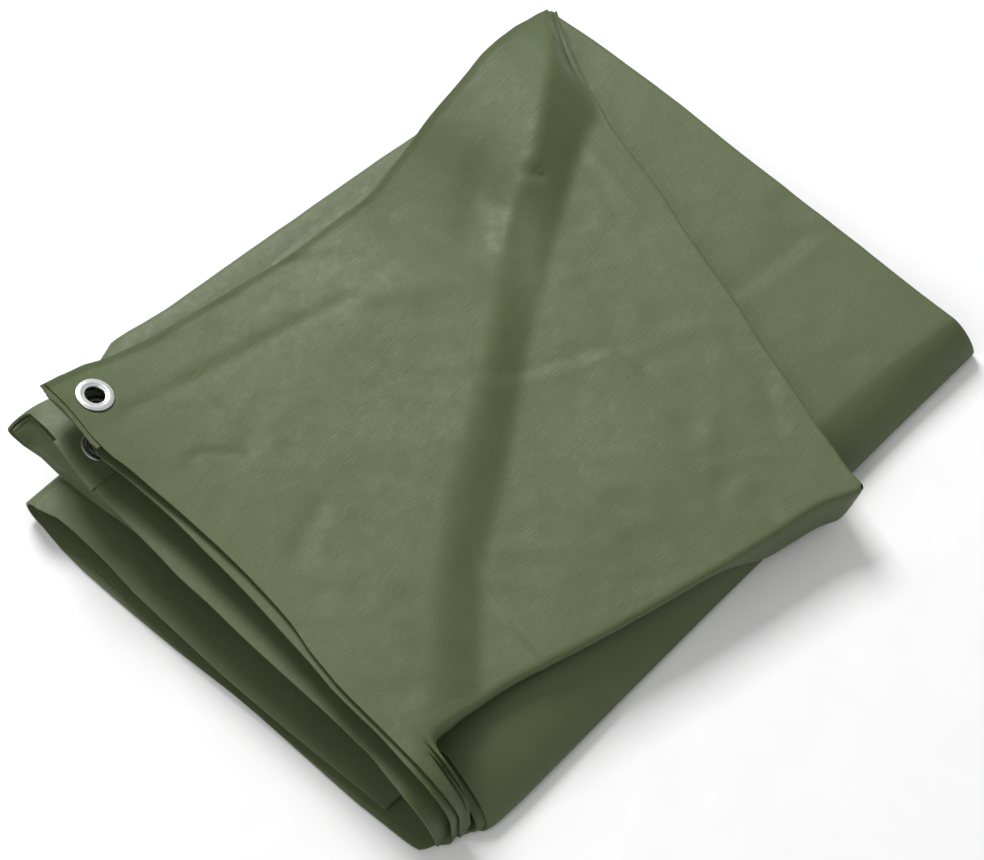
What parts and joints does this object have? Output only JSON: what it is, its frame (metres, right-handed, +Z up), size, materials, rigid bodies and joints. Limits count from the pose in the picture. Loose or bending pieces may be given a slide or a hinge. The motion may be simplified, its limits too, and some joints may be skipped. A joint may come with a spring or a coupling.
{
  "type": "folded tarp",
  "caption": "Hemmed plastic tarp doubled into a strip and folded back and forth into a flat bundle, with metal eyelets in its hem and corners.",
  "frame": {"origin": "middle of the footprint, on the surface the bundle lies on", "axes": "+Z up; +X from the hems towards the fold that doubles the strip; the strip runs to and fro along Y"},
  "size_m": [0.4599, 0.3796, 0.0846],
  "materials": {
    "tarp_cloth": "coated woven plastic, satin, finely creased",
    "eyelet_tab": "doubled coated woven plastic, satin",
    "eyelet_metal": "bright pressed metal"
  },
  "bodies": {
    "root": {"tarp_cloth": "tarp_cloth", "eyelet_tab_top": "eyelet_tab", "eyelet_tab_under": "eyelet_tab", "eyelet_tab_lower": "eyelet_tab", "eyelet_top": "eyelet_metal", "eyelet_under": "eyelet_metal", "eyelet_lower": "eyelet_metal", "washer_top": "eyelet_metal", "washer_under": "eyelet_metal", "washer_lower": "eyelet_metal"}
  },
  "joints": []
}
